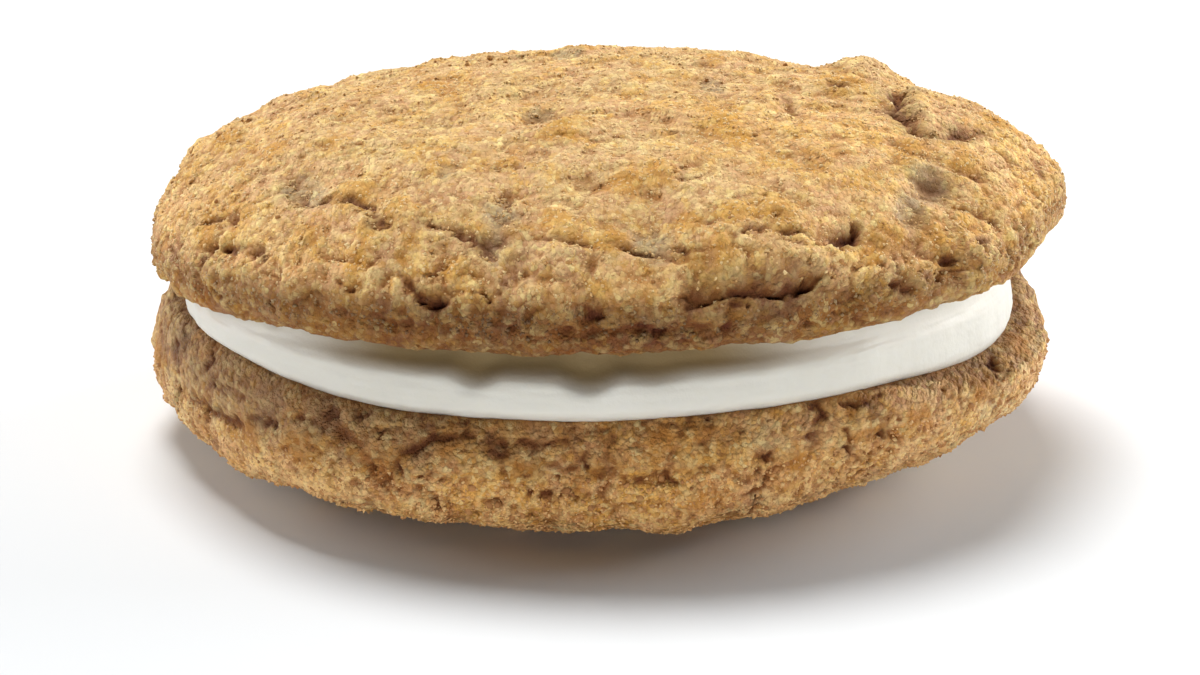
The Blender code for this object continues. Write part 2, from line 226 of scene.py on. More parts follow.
# small splits and seams seen between the larger cracks
topSplits = (
    (0.8, 0.8, ((-135, 38.4), (-134, 41.2), (-132, 42.6))),
    (0.7, 0.7, ((-110, 39.3), (-111, 41.4), (-113, 43))),
    (0.7, 0.7, ((-92, 44.4), (-92, 47.6))),
    (0.6, 0.7, ((-100, 47.2), (-94, 47.6), (-88, 46.9))),
    (0.8, 0.8, ((-53, 45.2), (-46, 45.4), (-38, 46))),
    (0.6, 0.7, ((-81, 25.2), (-74, 26.4), (-68, 25.6))),
    (0.6, 0.7, ((-108, 29), (-105, 32.5), (-107, 35.8))),
    (0.7, 0.8, ((-64, 36), (-70, 34.8), (-77, 35.6))),
    (0.6, 0.7, ((-48, 42.6), (-58, 42.8), (-66, 41.9), (-76, 41.2))),
)
bottomSplits = (
    (0.6, 0.6, ((-133, 50.2), (-130, 52.6))),
    (0.6, 0.6, ((-116, 47), (-113, 45.4), (-108, 45.9))),
    (0.7, 0.6, ((-71, 44.3), (-70, 47.6), (-66, 48.3), (-64, 50.4))),
    (0.6, 0.6, ((-86, 46.2), (-82, 48.1), (-76, 47.5))),
    (0.6, 0.6, ((-59, 48.1), (-56, 46.3), (-51, 46.9))),
    (0.5, 0.6, ((-148, 50.6), (-141, 51.4), (-133, 50.4))),
)
# angle, way out, reach, height
topHumps = (
    (38, 34, 4, 1.6), (4, 35, 6, 0.8), (52, 30, 5.5, -1.5), (78, 24, 7, 0.6), (26, 27, 2.3, -0.9),
    (58, 31.5, 3, -0.5), (28, 35.5, 4.5, -0.8), (160, 42, 5, 0.5), (16, 22.6, 2.4, 0.6),
    (-35, 36.3, 2.1, -0.9), (-44, 38.8, 2, -0.6), (-145, 7.8, 2.4, -0.7),
    (-109, 11.5, 3, 0.5), (-44, 45.3, 2, -0.8), (-92, 47, 1.9, -0.9),
    (-112, 23.1, 1.9, -0.6), (-108, 28.8, 1.9, -0.6), (-82, 28.6, 1.9, -0.6),
    (-94, 25.8, 1.9, -0.6),
)
bottomHumps = (
    (-116, 46.6, 1.9, -0.8), (-96, 46.3, 1.9, -0.8), (-70, 46.3, 1.9, -0.9),
    (-82, 47.6, 1.9, -0.7), (-82, 42, 3.5, 1.1), (-20, 52, 5, 0.8),
)
# small holes: angle, way out, radius, depth
topHoles = (
    (-56, 39.4, 1.2, 1.3), (-54, 38.8, 0.9, 1.2), (-58, 40.1, 0.8, 0.9), (-58, 44.8, 0.5, 0.7),
    (-43, 44.1, 0.8, 1), (-40, 43.3, 0.6, 0.8), (-36, 44.1, 0.6, 0.8), (-52, 43.1, 0.5, 0.7),
    (-53, 44.8, 0.7, 0.9), (-52, 46.1, 0.8, 0.8), (-92, 45.3, 0.9, 1.2), (-92, 47.1, 0.6, 0.8),
    (-110, 44.7, 1, 1.2), (-70, 44.2, 0.9, 1.1), (-66, 43.6, 1.1, 1.2),
    (-75, 44.4, 0.9, 1.1), (-84, 47.3, 0.8, 1.1), (-63, 13.3, 0.7, 0.5), (15, 23.6, 1.1, 0.8), (-33, 36.3, 1.8, 0.5),
    (-138, 34.4, 0.9, 0.8), (-123, 36.6, 0.8, 0.9), (-154, 32.8, 0.7, 0.7), (-148, 36.3, 0.6, 0.8),
    (-80, 38.8, 0.6, 0.6), (-122, 44.6, 0.6, 0.8), (-133, 40.8, 0.4, 0.5), (-12, 18.3, 0.6, 0.6),
    (-106, 37.6, 1.1, 0.5), (-64, 35.6, 0.5, 0.4), (-112, 22.4, 0.5, 0.4),
)
bottomHoles = (
    (-133, 50.3, 0.6, 0.7), (-111, 50.8, 0.9, 0.8), (-114, 48.6, 0.7, 0.8), (-102, 51.8, 0.8, 0.6),
    (-96, 46.3, 0.6, 0.8), (-116, 46.8, 0.5, 0.6), (-71, 44.3, 0.5, 0.8), (-70, 49.6, 0.6, 0.9),
    (-64, 50.1, 0.6, 0.8), (-59, 48.1, 0.6, 0.8), (-82, 48.1, 0.5, 0.7), (-71, 47.3, 0.5, 0.6),
    (-63, 53.2, 0.9, 0.8), (-57, 52.6, 0.8, 0.7), (-119, 53.4, 0.6, 0.6), (-107, 53.8, 0.5, 0.5),
)
# golden flakes and edges: angle, way out, reach
topGold = (
    (-107, 13.1, 1.7), (-104, 10.4, 1), (-26, 11.6, 1.2), (-40, 14.8, 2), (-48, 18.6, 1.2),
    (-86, 26.1, 1.6), (-79, 24.8, 1.7), (-89, 36.4, 1.4), (-75, 39.7, 1.6), (-28, 32.4, 1.6),
    (-23, 36.8, 1.4), (-49, 40.6, 1.6), (-42, 40.8, 1.6), (4, 39.5, 1.6), (24, 26, 3.2), (16, 23.4, 1.8),
    (-169, 32.6, 1.6), (-135, 33.1, 1.9), (-124, 34.6, 1.7), (-124, 38.8, 1.3), (-134, 39.3, 1.1),
    (-123, 41.8, 1.2), (-128, 25.1, 1), (-114, 21.8, 0.9), (-112, 13.6, 1.4), (-117, 39.6, 1),
    (-104, 35.3, 1.1), (-64, 13.8, 0.9), (-64, 35.1, 1.8), (-70, 34.6, 1.3), (3, 37.6, 1.5),
    (-54, 41.6, 1.5), (-79, 40.1, 1.3), (-110, 41.1, 1.3), (-156, 42.1, 1.6), (-152, 39.1, 1.3),
    (-98, 33.6, 1.2), (-78, 34.3, 1.3), (-18, 24.3, 1.2), (-74, 45.1, 1.4), (150, 20, 1.8),
    (95, 30, 2), (120, 36, 1.8), (60, 22, 1.6), (170, 38, 1.8), (75, 40, 1.8),
)
bottomGold = (
    (-108, 52.1, 1.4), (-114, 49.8, 1.1), (-83, 52.3, 1.4), (-78, 52.3, 1.3), (-58, 53.1, 1.3),
    (-56, 48.1, 1.2), (-48, 48.3, 1.4), (-90, 49.1, 1.2), (-100, 49.1, 1.2), (-128, 48.8, 1.8),
    (-138, 48.1, 1.6), (-78, 45.8, 1.4), (-66, 48.1, 1.3), (-36, 48.6, 1.6), (-20, 53.6, 1.6),
    (40, 48, 1.8), (110, 50, 1.8), (160, 47, 1.8), (75, 51, 1.6), (-170, 49, 1.6),
)
# smooth greyish hollows: angle, way out, reach
topBare = (
    (-151, 7.3, 1.5), (-106, 38.3, 1.4), (-107, 33, 1.8), (-84, 37.6, 1.6), (-34, 36.3, 2),
    (-42, 38.1, 1.9), (-149, 33.6, 1.8), (-143, 34.4, 1.6), (-108, 30.1, 1), (-124, 26.1, 0.9),
    (100, 24, 1.6), (30, 12, 1.4),
)
bottomBare = ((-134, 51.9, 1.8), (-125, 52.8, 1.6), (-168, 50.1, 1.6), (60, 50, 1.6))


def profileTable(cookie):
    # (way out, radius, height): a dome (sin^(2/p), cos^(2/q)), then a rounded edge down to the flat side
    turn = np.linspace(0, math.pi / 2, profileSteps)
    powerOut, powerUp = cookie["domePowers"]
    domeRadius = cookie["radius"] * np.sin(turn) ** (2 / powerOut)
    domeHeight = cookie["dome"] * np.cos(turn).clip(0) ** (2 / powerUp)
    edgeRadius = cookie["radius"] - cookie["edgeRound"] * (1 - np.cos(turn).clip(0) ** 0.8)
    edgeHeight = -cookie["edgeDrop"] * np.sin(turn) ** 0.8
    radius = np.concatenate([domeRadius, edgeRadius[1:], [coveredToRadius]])
    height = np.concatenate([domeHeight, edgeHeight[1:], [-cookie["edgeDrop"]]])
    steps = np.hypot(np.diff(radius), np.diff(height))
    return np.concatenate([[0.0], np.cumsum(steps)]), radius, height


def bell(angle, centre, reach):
    # cos^2 of the gap in angle, 1 at the centre and 0 from the reach on
    gap = np.abs((angle - centre + 180) % 360 - 180)
    return np.cos(np.clip(gap / reach, 0, 1) * math.pi / 2) ** 2


def bend(cookie, sags, angle, radius, x):
    # x times the tilt's tangent, less each sag times its bell and its share of the way to the rim
    outer = np.clip((radius - flatToRadius) / (cookie["radius"] - flatToRadius), 0, 1)
    lift = x * math.tan(cookie["tilt"])
    for centre, reach, sag in sags:
        lift = lift - sag * outer**1.5 * bell(angle, centre, reach)
    return lift


def smoothCrust(cookie, angle, wayOut):
    # the profile at this way out, turned to this angle, with cosine lobes towards the rim, then bent:
    # by the dome's sags down to the widest level, and from there more and more by the flat side's
    tableWay, tableRadius, tableHeight = profileTable(cookie)
    radius = np.interp(wayOut, tableWay, tableRadius)
    height = np.interp(wayOut, tableWay, tableHeight)
    rim = np.clip(radius / cookie["radius"], 0, 1) ** 3
    for count, size, phase in cookie["lobes"]:
        radius = radius + rim * size * np.cos(np.radians(count * (angle - phase)))
    turn = np.radians(angle)
    x = cookie["centre"][0] + radius * np.cos(turn)
    y = cookie["centre"][1] + radius * np.sin(turn)
    z = cookie["flatLevel"] + cookie["up"] * (cookie["edgeDrop"] + height)
    toFlat = np.clip(-height / cookie["edgeDrop"], 0, 1)
    domeBend = bend(cookie, cookie["sags"], angle, radius, x)
    flatBend = bend(cookie, cookie["flatSags"], angle, radius, x)
    return np.stack([x, y, z + domeBend + toFlat * (flatBend - domeBend)], 1)


def spotsOn(cookie, places):
    # points on the smooth crust for rows of angle and way out
    return smoothCrust(cookie, *np.array(places, float).T)


def flatSideLevel(cookie, x, y):
    # the flat side's height at these places: its level plus the bend there
    xOut, yOut = x - cookie["centre"][0], y - cookie["centre"][1]
    angle = np.degrees(np.arctan2(yOut, xOut))
    return cookie["flatLevel"] + bend(cookie, cookie["flatSags"], angle, np.hypot(xOut, yOut), x)


def crustNormals(cookie, angle, wayOut):
    # cross product of a step along the crust and a step round it
    turnStep, wayStep = 0.5, 0.2
    inner = np.maximum(wayOut - wayStep, 1e-3)
    outer = np.maximum(wayOut, wayStep)
    along = smoothCrust(cookie, angle, wayOut + wayStep) - smoothCrust(cookie, angle, inner)
    around = smoothCrust(cookie, angle + turnStep, outer) - smoothCrust(cookie, angle - turnStep, outer)
    normal = np.cross(along, around) * cookie["up"]
    return normal / np.linalg.norm(normal, axis=1, keepdims=True)


def distanceToRoute(points, route):
    # the least distance to the route's straight stretches, and the share of its length at that place
    lengths = np.linalg.norm(np.diff(route, axis=0), axis=1)
    starts = np.concatenate([[0.0], np.cumsum(lengths)])
    best = np.full(len(points), np.inf)
    along = np.zeros(len(points))
    for start, end, passed, length in zip(route[:-1], route[1:], starts, lengths):
        share = np.clip((points - start) @ (end - start) / length**2, 0, 1)
        gap = np.linalg.norm(points - start - share[:, None] * (end - start), axis=1)
        nearer = gap < best
        best = np.where(nearer, gap, best)
        along = np.where(nearer, (passed + share * length) / starts[-1], along)
    return best, along, starts / starts[-1]


def crackRoutes(cookie, rule, depths, halfWidth, wayRange, steps):
    # wandering routes spread over the angles: each step goes on 4 to 8 degrees and up or down 2 mm
    seed, count, start, end = rule
    random = np.random.default_rng(seed)
    widestWay = profileTable(cookie)[0][profileSteps - 1]
    cracks = []
    for index in range(count):
        angle = start + (end - start) * (index + random.uniform(0.1, 0.9)) / count
        way = widestWay + random.uniform(*wayRange)
        places = [(angle, way)]
        for _ in range(random.integers(1, steps)):
            angle += random.uniform(4.0, 8.0)
            way += random.uniform(-2.2, 2.2)
            places.append((angle, way))
        cracks.append((random.uniform(*depths), halfWidth, tuple(places)))
    return tuple(cracks)


def boxAverage(values, reach):
    # mean over a square of cells round each one, by running sums along both sides of the grid
    for axis in (0, 1):
        before = values.take([0] * (reach + 1), axis)
        sums = np.cumsum(np.concatenate([before, values, values.take([-1] * reach, axis)], axis), axis)
        size = values.shape[axis]
        high = sums.take(np.arange(2 * reach + 1, 2 * reach + 1 + size), axis)
        values = (high - sums.take(np.arange(size), axis)) / (2 * reach + 1)
    return values


def patchMask(cookie, points, patches, seed):
    # 1 inside ragged patches: distance to each place, bent by noise and halved along Y, against its reach
    ragged = warped(points, 1.8, 0.9, seed)
    mask = np.zeros(len(points))
    for *place, reach in patches:
        away = (ragged - spotsOn(cookie, [place])) * (1.0, 0.5, 1.0)
        mask = np.maximum(mask, easeStep(1.3, 0.6, np.linalg.norm(away, axis=1) / reach))
    return mask


def crackRelief(cookie, points, wayOut, cracks):
    # a shallow valley, a crevice of uneven width, a raised lip on its upper side and a swell below it
    seed = cookie["lumpSeed"]
    jagged = warped(warped(points, 4.0, 0.8, seed + 100), 1.3, 0.35, seed + 110)
    widthNoise = layeredNoise(points, 2.6, seed + 120, 2)
    height = np.zeros(len(points))
    dark = np.zeros(len(points))
    edge = np.zeros(len(points))
    for depth, halfWidth, places in cracks:
        route = spotsOn(cookie, places)
        near = np.linalg.norm(points - route.mean(0), axis=1) < np.ptp(route, axis=0).max() + 6
        gap, along, shares = distanceToRoute(jagged[near], route)
        upper = (np.interp(along, shares, np.array(places)[:, 1]) - wayOut[near]) * cookie["up"]
        ends = np.clip(5 * np.minimum(along, 1 - along), 0, 1) ** 0.5
        narrow = np.clip(halfWidth * (0.28 + 0.17 * widthNoise[near]), 0.22, 0.8)
        least = min(0.3 * depth, 0.7)
        uneven = least + (1 - least) * easeStep(-0.45, 0.35, gradientNoise(points[near] / 2.2, seed + 140))
        crevice = easeStep(1.7, 0.4, gap / narrow) * ends * uneven
        valley = np.clip(1 - gap / halfWidth, 0, 1) ** 1.5 * ends
        lip = easeStep(-0.3, 0.5, upper) * np.exp(-gap / 1.5) * ends
        swell = easeStep(0.3, -0.5, upper) * np.exp(-(((gap - 1.7) / 1.1) ** 2)) * ends
        height[near] += depth * (0.34 * lip + 0.18 * swell - 0.38 * valley - cookie["crevice"] * crevice)
        # the crevices and the valleys of deep cracks are darkened: painted shade
        valleyShade = 0.9 * valley**0.6 * easeStep(1.0, 2.4, depth) * uneven
        dark[near] = np.maximum(dark[near], np.maximum(crevice * min(0.12 + 0.5 * depth, 1.0), valleyShade))
        edge[near] = np.maximum(edge[near], lip * easeStep(0.4, 1.0, depth) * (1 - crevice))
    return height, dark, edge


def crustRelief(cookie, points, normals, wayOut, marks):
    # height = broad lumps + humps + stepped flakes + pillows + crumble - pits - holes + cracks, in mm;
    # with the masks that the crust's material reads
    centre = cookie["centre"]
    outward = np.hypot(points[:, 0] - centre[0], points[:, 1] - centre[1]) / cookie["radius"]
    side = np.clip(outward * 4 - 3, 0, 1)
    rim = easeStep(0.62, 0.92, outward)
    seed = cookie["lumpSeed"]
    height = (0.4 + 0.25 * side) * layeredNoise(points, 13.0, seed, 3)
    for *place, reach, rise in marks["humps"]:
        gap = np.linalg.norm(points - spotsOn(cookie, [place]), axis=1)
        height += rise * np.exp(-((gap / reach) ** 2))
    ragged = warped(points, 3.0, 0.9, seed + 300)
    rough = easeStep(-0.15, 0.55, layeredNoise(points, 9.0, seed + 310, 2) + 0.5 * side - 0.1)
    flakeHeight = cookie["flakes"][0] * (1 - side) + cookie["flakes"][1] * side
    terrain = layeredNoise(ragged, 8.5, seed + 320, 3)
    otherTerrain = layeredNoise(ragged, 6.0, seed + 330, 3)
    flakes = easeStep(-0.05, 0.05, terrain - 0.18) + easeStep(-0.05, 0.05, terrain + 0.30)
    flakes += 0.7 * easeStep(-0.07, 0.07, otherTerrain - 0.25)
    height += flakeHeight * (flakes - 1.4)
    flakeEdge = np.maximum(np.exp(-(((terrain - 0.20) / 0.07) ** 2)), np.exp(-(((otherTerrain - 0.27) / 0.08) ** 2)))
    near, second = cellNoise(warped(points, 6.0, 2.0, seed + 400) / 7.0, seed + 410)
    seam = (second - near) * 3.5
    seamShown = easeStep(-0.25, 0.35, gradientNoise(points / 6.0, seed + 420))
    pillowHeight = cookie["pillows"][0] * (1 - rim) + cookie["pillows"][1] * rim
    height += pillowHeight * (0.35 - np.exp(-seam / 1.1) * (0.5 + 0.9 * seamShown))
    crease = np.exp(-((seam / 0.45) ** 2)) * seamShown * rim
    crumbleHeight = (cookie["crumble"][0] * (1 - side) + cookie["crumble"][1] * side) * (0.55 + 0.8 * rough)
    drawn = points * (1.0, 0.6, 1.0)
    coarse = np.abs(gradientNoise(ragged * (1.0, 0.6, 1.0) / 2.2, seed + 500))
    medium = np.abs(gradientNoise(warped(drawn, 1.5, 0.3, seed + 505) / 1.2, seed + 510))
    crumble = 0.8 * coarse + 0.8 * medium + 0.6 * gradientNoise(drawn / 0.8, seed + 520)
    height += crumbleHeight * (crumble - crumble.mean())
    gully = easeStep(0.14, 0.0, coarse) * rough
    pitting = (cookie["pits"][0] * (1 - side) + cookie["pits"][1] * side) * (0.4 + 0.8 * rough)
    pitField = gradientNoise(warped(drawn, 1.4, 0.6, seed + 600) / 1.3, seed + 610)
    pit = easeStep(0.88, 1.10, pitField + pitting)
    height -= (0.35 + 0.35 * side) * pit
    hole = np.zeros(len(points))
    jagged = warped(ragged, 1.2, 0.35, seed + 620)
    for *place, reach, depth in marks["holes"]:
        gap = np.linalg.norm(jagged - spotsOn(cookie, [place]), axis=1)
        shaft = easeStep(1.35, 0.4, gap / reach)
        height -= 0.8 * depth * shaft
        # holes are darkened more the deeper they are: painted shade
        hole = np.maximum(hole, np.maximum(shaft, 0.5 * easeStep(2.2, 0.8, gap / reach)) * min(0.3 + 0.6 * depth, 1.0))
    bare = patchMask(cookie, points, marks["bare"], seed + 700)
    height -= 0.25 * bare
    gold = patchMask(cookie, points, marks["gold"], seed + 710)
    height += 0.18 * gold
    crackHeight, crack, edge = crackRelief(cookie, points, wayOut, marks["cracks"])
    height += crackHeight - cookie["settle"]
    goldNoise = easeStep(0.1, 0.7, layeredNoise(warped(drawn, 3.0, 0.9, seed + 715), 4.5, seed + 720, 3))
    gold = np.maximum(gold, goldNoise * (0.35 + 0.45 * flakeEdge))
    gold = np.maximum(gold, 0.9 * edge * easeStep(-0.3, 0.3, gradientNoise(points / 3.0, seed + 730)))
    masks = {
        # darkening in cracks, holes, pits, gullies and creases: painted shade
        "crack": np.clip(np.maximum(crack, hole), 0, 1),
        "hollow": np.clip(np.maximum(pit, 0.5 * gully) + 0.5 * crease, 0, 1),
        "gold": gold,
        "bare": bare,
        "rose": easeStep(-0.3, 0.4, layeredNoise(drawn, 6.0, seed + 740, 3)),
        "flank": 1 - np.clip(normals[:, 2] * cookie["up"], 0, 1),
    }
    return height, masks


def discFromSquare(a, b):
    # a square of -1 to 1 bent into a disc: the larger side gives the radius, their ratio the angle
    wide = np.abs(a) >= np.abs(b)
    share = np.maximum(np.abs(a), np.abs(b))
    divisor = np.where(wide, a, b)
    ratio = np.where(wide, b, a) / np.where(divisor == 0, 1, divisor)
    angle = np.where(wide, 45 * ratio, 90 - 45 * ratio)
    return angle + np.where(divisor < 0, 180, 0), share


def meshPiece(name, points, faces, masks, material, node=None):
    # points in mm and faces as index rows into a mesh object that rides with the part
    mesh = bpy.data.meshes.new(name)
    mesh.from_pydata((points * mm).tolist(), [], faces)
    for key, values in masks.items():
        mesh.attributes.new(key, "FLOAT", "POINT").data.foreach_set("value", values.astype(np.float32))
    mesh.shade_smooth()
    mesh.materials.append(material)
    piece = bpy.data.objects.new(name, mesh)
    scene.collection.objects.link(piece)
    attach(piece, "root")
    if node:
        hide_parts(node)


def makeCookie(name, cookie, marks, material, node):
    # a square grid bent into a disc, laid over the crust and moved out by the relief,
    # then drawn in under the cream to a level ring and closed by a fan
    cells = gridCells
    line = np.linspace(-1, 1, cells + 1)
    a, b = np.meshgrid(line, line)
    angle, share = discFromSquare(a.ravel(), b.ravel())
    fullWay = profileTable(cookie)[0][-1]
    wayOut = fullWay * share * (1.3 - 0.3 * share)
    points = smoothCrust(cookie, angle, wayOut)
    normals = crustNormals(cookie, angle, wayOut)
    pastWidest = wayOut - profileTable(cookie)[0][profileSteps - 1]
    strength = np.clip((fullWay - wayOut) / 2.2 - 0.2, 0, 1) * (1 - 0.4 * easeStep(0.3, 3.0, pastWidest))
    strength *= 1 - 0.3 * normals[:, 0] ** 2    # calmer at the ends, seen from beside
    marks["cracks"] += crackRoutes(cookie, cookie["moreCracks"], (0.7, 1.4), 1.3, (-7.0, 3.0), 4)
    marks["cracks"] += crackRoutes(cookie, cookie["fineCracks"], (0.35, 0.7), 0.7, (-9.0, 5.0), 3)
    height, masks = crustRelief(cookie, points, normals, wayOut, marks)
    if cookie["up"] < 0:
        strength = strength * np.clip((wayOut - 12.0) / 10.0, 0, 1)
    points = points + normals * (strength * height)[:, None]
    points[:, 2] = np.maximum(points[:, 2], 0.0)
    spots = points.reshape(cells + 1, cells + 1, 3)
    area = np.linalg.norm(np.cross(np.gradient(spots, axis=0), np.gradient(spots, axis=1)), axis=2).ravel()
    grid = height.reshape(cells + 1, cells + 1)
    fine, broad = grid - boxAverage(grid, 2), grid - boxAverage(grid, 8)
    # darker in the relief's hollows and paler on its raised parts: painted shade in the hollows
    masks["cavityShade"] = np.clip(0.5 + 1.3 * fine.ravel() + 0.45 * broad.ravel(), 0, 1)
    # painted light: paler towards the ends
    masks["ends"] = sum(share * bell(angle, place, reach) for place, reach, share in cookie["ends"])
    # the band towards the flat side is browner and darker all round, and more so at the front: bake colour with
    # painted shade
    allRound, (front, reach, more) = cookie["shaded"]
    shaded = easeStep(*cookie["shadedFrom"], pastWidest) * (allRound + more * bell(angle, front, reach))
    masks["inward"] = np.maximum(shaded, 0.75 * easeStep(5.9, 7.1, pastWidest))

    index = np.arange((cells + 1) ** 2).reshape(cells + 1, cells + 1)
    quads = np.stack([index[:-1, :-1], index[:-1, 1:], index[1:, 1:], index[1:, :-1]], -1).reshape(-1, 4)
    rim = np.concatenate([index[0, :-1], index[:-1, -1], index[-1, :0:-1], index[:0:-1, 0]])
    out = points[rim, :2] - cookie["centre"]
    ring = cookie["centre"] + out * (flatToRadius / np.linalg.norm(out, axis=1, keepdims=True))
    ringPoints = np.column_stack([ring, flatSideLevel(cookie, ring[:, 0], ring[:, 1])])
    first = len(points)
    ringIndex = first + np.arange(len(rim))
    after = np.roll(np.arange(len(rim)), -1)
    sides = np.stack([rim, ringIndex, ringIndex[after], rim[after]], 1)
    fan = np.stack([ringIndex, np.full(len(rim), first + len(rim)), ringIndex[after]], 1)
    allPoints = np.concatenate([points, ringPoints, ringPoints.mean(0, keepdims=True)])
    faces = [*quads.tolist(), *sides.tolist(), *fan.tolist()]
    if cookie["up"] < 0:
        faces = [face[::-1] for face in faces]
    extra = len(rim) + 1
    allMasks = {key: np.concatenate([values, np.full(extra, values[rim].mean())]) for key, values in masks.items()}
    meshPiece(name, allPoints, faces, allMasks, material, node)
    return {"points": points, "normals": normals, "masks": masks, "area": area, "way": wayOut}


# materials
def linear(colour):
    # sRGB 0-255 to linear light: ((c + 0.055) / 1.055)^2.4 above the toe
    share = np.array(colour) / 255
    return (*np.where(share <= 0.04045, share / 12.92, ((share + 0.055) / 1.055) ** 2.4).tolist(), 1.0)


def newGroup(name, inputs, outputs):
    group = bpy.data.node_groups.new(name, "ShaderNodeTree")
    for label, kind in inputs:
        group.interface.new_socket(label, in_out="INPUT", socket_type=kind)
    for label, kind in outputs:
        group.interface.new_socket(label, in_out="OUTPUT", socket_type=kind)
    return group, group.nodes.new("NodeGroupInput"), group.nodes.new("NodeGroupOutput")


def feed(tree, socket, value):
    # links the socket to another one, or sets its value
    if isinstance(value, bpy.types.NodeSocket):
        tree.links.new(value, socket)
    else:
        socket.default_value = value


def addNode(tree, kind, settings=None, **values):
    node = tree.nodes.new(kind)
    for key, value in (settings or {}).items():
        setattr(node, key, value)
    for key, value in values.items():
        feed(tree, node.inputs[key], value)
    return node


def mathNode(tree, operation, first, second, clamp=False):
    node = addNode(tree, "ShaderNodeMath", {"operation": operation, "use_clamp": clamp})
    feed(tree, node.inputs[0], first)
    feed(tree, node.inputs[1], second)
    return node.outputs[0]


def mixColours(tree, share, first, second):
    # the second colour over the first by this share
    node = addNode(tree, "ShaderNodeMix", {"data_type": "RGBA", "clamp_factor": True}, Factor=share)
    for socket, value in zip([socket for socket in node.inputs if socket.type == "RGBA"], (first, second)):
        feed(tree, socket, value)
    return [socket for socket in node.outputs if socket.type == "RGBA"][0]


def buildGrainGroup():
    # sandy grain: random tones and hues of small cells mixed with those of cells twice as wide, specks from a
    # noise, painted shade in the gaps between the cells, and height = 0.5 (1 - distance) + 2 noise - 0.4 speck + 0.6
    # tone
    group, start, end = newGroup(
        "sandyGrain",
        [("Position", "NodeSocketVector"), ("Grains per metre", "NodeSocketFloat"), ("Specks", "NodeSocketFloat")],
        [(label, "NodeSocketFloat") for label in ("Tone", "Hue", "Speck", "Grain gap shade", "Height")],
    )

    def add(first, second):
        return mathNode(group, "ADD", first, second)

    def subtract(first, second):
        return mathNode(group, "SUBTRACT", first, second)

    def times(first, second, clamp=False):
        return mathNode(group, "MULTIPLY", first, second, clamp)

    def texture(kind, factor, **values):
        # a texture at the position, its scale this share of the grains'
        scale = times(start.outputs["Grains per metre"], factor)
        return addNode(group, kind, Vector=start.outputs["Position"], Scale=scale, **values)

    splits = []
    for factor in (0.47, 1.0):
        cells = texture("ShaderNodeTexVoronoi", factor, Randomness=1.0)
        splits.append(addNode(group, "ShaderNodeSeparateColor", Color=cells.outputs["Color"]))
    wide, small = splits

    def blend(channel, share):
        # this share of the small cells' number, the rest from the wide ones
        return add(times(small.outputs[channel], share), times(wide.outputs[channel], 1 - share))

    tone = blend("Red", 0.62)
    noise = texture("ShaderNodeTexNoise", 0.4, Detail=3.0, Roughness=0.65).outputs["Fac"]
    distance = cells.outputs["Distance"]
    speck = times(subtract(noise, start.outputs["Specks"]), 9.0, True)
    hill = add(times(subtract(1.0, distance), 0.5), times(noise, 2.0))
    results = {
        "Tone": tone,
        "Hue": blend("Green", 0.55),
        "Speck": speck,
        # painted shade between the grains
        "Grain gap shade": times(subtract(distance, 0.6), 4.0, True),
        "Height": add(add(hill, times(speck, -0.4)), times(tone, 0.6)),
    }
    for label, result in results.items():
        feed(group, end.inputs[label], result)
    return group


# the tone group's inputs, and the mesh attributes or textures that they read
crustMasks = {
    "Flank": "flank", "Browning and shade": "inward", "End light mask": "ends", "Rose mask": "rose", "Gold mask": "gold",
    "Bare mask": "bare", "Cavity shade": "cavityShade", "Hollow shade": "hollow", "Crack mask": "crack",
}
grainMasks = ("Tone", "Hue", "Speck", "Grain gap shade")
blotchScales = {"Blotch": 330.0, "Pale blotch": 210.0}
# tones laid over the dome's one after another: value, zero, slope, most, tone; the steps for the flat side, grain
# gaps, hollows, cavities and cracks lay painted shade, the steps for the ends painted light
toneSteps = (
    ("Flank", 0, 1, 1, "Side"), ("End light mask", 0, 1, 1, "Lit ends"), ("Rose mask", 0, 1, 0.7, "Rose"),
    ("Pale blotch", 0.52, 7, 0.55, "Straw"), ("Blotch", 0.51, 8, 0.62, "Gold"), ("Blotch", 0.46, -8, 0.8, "Rose"),
    ("Browning and shade", 0, 1, 0.7, "Flat side and shade"), ("Gold mask", 0, 1, 0.6, "Amber"), ("Bare mask", 0, 1, 0.7, "Bare"),
    ("Tone", 0.54, 1.8, 1, "Straw"), ("Tone", 0.46, -1.8, 1, "Dark"), ("Hue", 0.58, 1.3, 1, "Gold"),
    ("Hue", 0.42, -1.3, 1, "Rose"), ("Speck", 0, 1, 0.45, "Dark"), ("Grain gap shade", 0, 1, 1, "Crack"),
    ("Cavity shade", 0.5, -2.1, 1, "Dark"), ("Cavity shade", 0.52, 0.65, 1, "Straw"), ("Gold mask", 0, 1, 0.5, "Amber"),
    ("Bare mask", 0, 1, 0.3, "Bare"), ("Browning and shade", 0, 1, 0.6, "Flat side and shade"), ("Hollow shade", 0, 1, 0.6, "Crack"),
    ("Crack mask", 0, 1, 0.9, "Crack"),
)


def buildToneGroup(colours):
    # crust colour, its baked tones with painted shade and light laid in: each step's share is how far its value is
    # past the zero, times the slope, kept from 0 to 1, times the most; the painted shade in the gaps between grains
    # shows more on the flanks
    masks = [*crustMasks, *grainMasks, *blotchScales]
    group, start, end = newGroup(
        "bakedTone",
        [(label, "NodeSocketColor") for label in colours] + [(label, "NodeSocketFloat") for label in masks],
        [("Color", "NodeSocketColor")],
    )
    values = {label: start.outputs[label] for label in masks}
    onFlank = mathNode(group, "ADD", mathNode(group, "MULTIPLY", values["Flank"], 0.22), 0.08)
    values["Grain gap shade"] = mathNode(group, "MULTIPLY", values["Grain gap shade"], onFlank)
    tone = start.outputs["Dome"]
    for label, zero, slope, most, colour in toneSteps:
        past = mathNode(group, "SUBTRACT", values[label], zero)
        share = mathNode(group, "MULTIPLY", mathNode(group, "MULTIPLY", past, slope, True), most)
        tone = mixColours(group, share, tone, start.outputs[colour])
    feed(group, end.inputs["Color"], tone)
    return group
